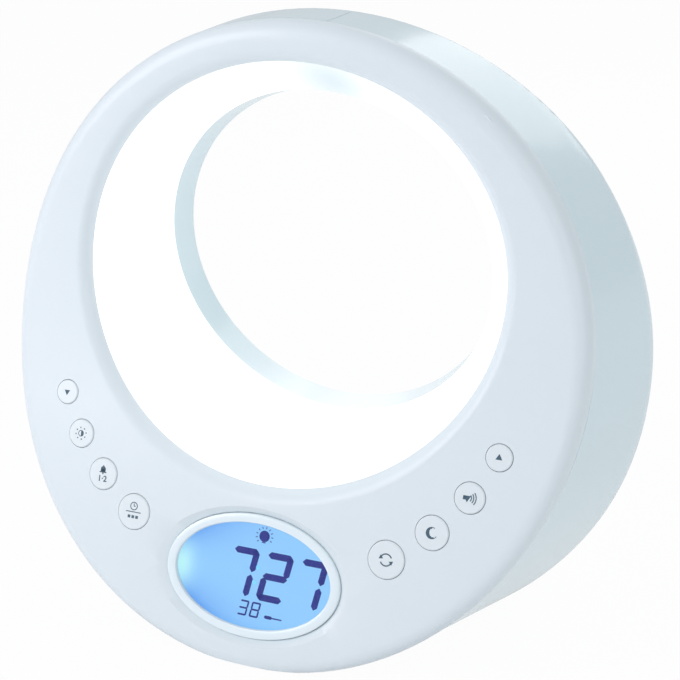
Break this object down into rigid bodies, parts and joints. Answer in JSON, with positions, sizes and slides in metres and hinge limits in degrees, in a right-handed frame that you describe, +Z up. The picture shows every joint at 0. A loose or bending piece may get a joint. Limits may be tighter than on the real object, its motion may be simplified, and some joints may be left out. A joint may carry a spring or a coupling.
{
  "type": "sunrise alarm clock",
  "caption": "Table alarm clock with a lit through tunnel, an oval backlit display, round keys, a snooze bar on top and a flared housing that stands on a flat foot.",
  "frame": {"origin": "centre of the bounding box at the underside of the feet", "axes": "+Z up, -Y out of the face with the display, +X to the right as seen from the front"},
  "size_m": [0.2308, 0.1124, 0.2061],
  "materials": {
    "face_white": "satin-gloss injection-moulded white",
    "shell_white": "glossy white",
    "diffuser": "translucent opal white",
    "reflector": "matte white",
    "board": "solder-masked laminate",
    "led": "phosphor chips",
    "display_frame": "glossy light grey-white",
    "window": "clear polished",
    "lcd": "blue backlit panel",
    "black_plastic": "moulded black",
    "light_guide": "clear acrylic",
    "contact_rubber": "silicone contact strip",
    "jack_black": "moulded black",
    "speaker_steel": "plated pressed steel",
    "speaker_paper": "black paper cone",
    "magnet": "dark ferrite",
    "cell_jacket": "plain bare jacket",
    "contact_steel": "nickel-plated spring steel",
    "foot_rubber": "soft pale rubber",
    "screw_steel": "zinc-plated",
    "key_white": "satin white"
  },
  "bodies": {
    "case": {"front_bezel": "face_white", "rear_housing": "shell_white", "light_diffuser": "diffuser", "light_reflector": "reflector", "led_board": "board", "led_chips": "led", "display_frame": "display_frame", "display_window": "window", "lcd_glass": "lcd", "lcd_holder": "black_plastic", "backlight_guide": "light_guide", "zebra_strips": "contact_rubber", "display_board": "board", "key_board_left": "board", "key_board_right": "board", "key_switches_left": "black_plastic", "key_switches_right": "black_plastic", "snooze_board": "board", "snooze_switch": "black_plastic", "main_board": "board", "main_chips": "black_plastic", "dc_jack": "jack_black", "aux_jack": "jack_black", "speaker_frame": "speaker_steel", "speaker_cone": "speaker_paper", "speaker_magnet": "magnet", "backup_cells": "cell_jacket", "battery_contacts": "contact_steel", "rubber_feet": "foot_rubber", "case_screws": "screw_steel", "board_screws": "screw_steel"},
    "key_set": {"key_set": "key_white"},
    "key_alarm": {"key_alarm": "key_white"},
    "key_brightness": {"key_brightness": "key_white"},
    "key_down": {"key_down": "key_white"},
    "key_mode": {"key_mode": "key_white"},
    "key_sleep": {"key_sleep": "key_white"},
    "key_volume": {"key_volume": "key_white"},
    "key_up": {"key_up": "key_white"},
    "snooze_bar": {"snooze_bar": "shell_white"},
    "battery_door": {"battery_door": "shell_white"}
  },
  "joints": [
    {"name": "key_set_press", "type": "slide", "parent": "case", "child": "key_set", "axis": [0, 0.9391, -0.3437], "range_m": [0, 0.0008], "stiffness_N_per_m": 600, "springref_m": -0.0008},
    {"name": "key_alarm_press", "type": "slide", "parent": "case", "child": "key_alarm", "axis": [0, 0.9391, -0.3437], "range_m": [0, 0.0008], "stiffness_N_per_m": 600, "springref_m": -0.0008},
    {"name": "key_brightness_press", "type": "slide", "parent": "case", "child": "key_brightness", "axis": [0, 0.9391, -0.3437], "range_m": [0, 0.0008], "stiffness_N_per_m": 600, "springref_m": -0.0008},
    {"name": "key_down_press", "type": "slide", "parent": "case", "child": "key_down", "axis": [0, 0.9391, -0.3437], "range_m": [0, 0.0008], "stiffness_N_per_m": 600, "springref_m": -0.0008},
    {"name": "key_mode_press", "type": "slide", "parent": "case", "child": "key_mode", "axis": [0, 0.9391, -0.3437], "range_m": [0, 0.0008], "stiffness_N_per_m": 600, "springref_m": -0.0008},
    {"name": "key_sleep_press", "type": "slide", "parent": "case", "child": "key_sleep", "axis": [0, 0.9391, -0.3437], "range_m": [0, 0.0008], "stiffness_N_per_m": 600, "springref_m": -0.0008},
    {"name": "key_volume_press", "type": "slide", "parent": "case", "child": "key_volume", "axis": [0, 0.9391, -0.3437], "range_m": [0, 0.0008], "stiffness_N_per_m": 600, "springref_m": -0.0008},
    {"name": "key_up_press", "type": "slide", "parent": "case", "child": "key_up", "axis": [0, 0.9391, -0.3437], "range_m": [0, 0.0008], "stiffness_N_per_m": 600, "springref_m": -0.0008},
    {"name": "snooze_bar_press", "type": "slide", "parent": "case", "child": "snooze_bar", "axis": [0, 0, -1], "range_m": [0, 0.001], "stiffness_N_per_m": 900, "springref_m": -0.001},
    {"name": "battery_door_hinge", "type": "hinge", "parent": "case", "child": "battery_door", "pos_m": [0, 0.05409, 0.0074], "axis": [-1, 0, 0], "range_deg": [0, 60]}
  ]
}
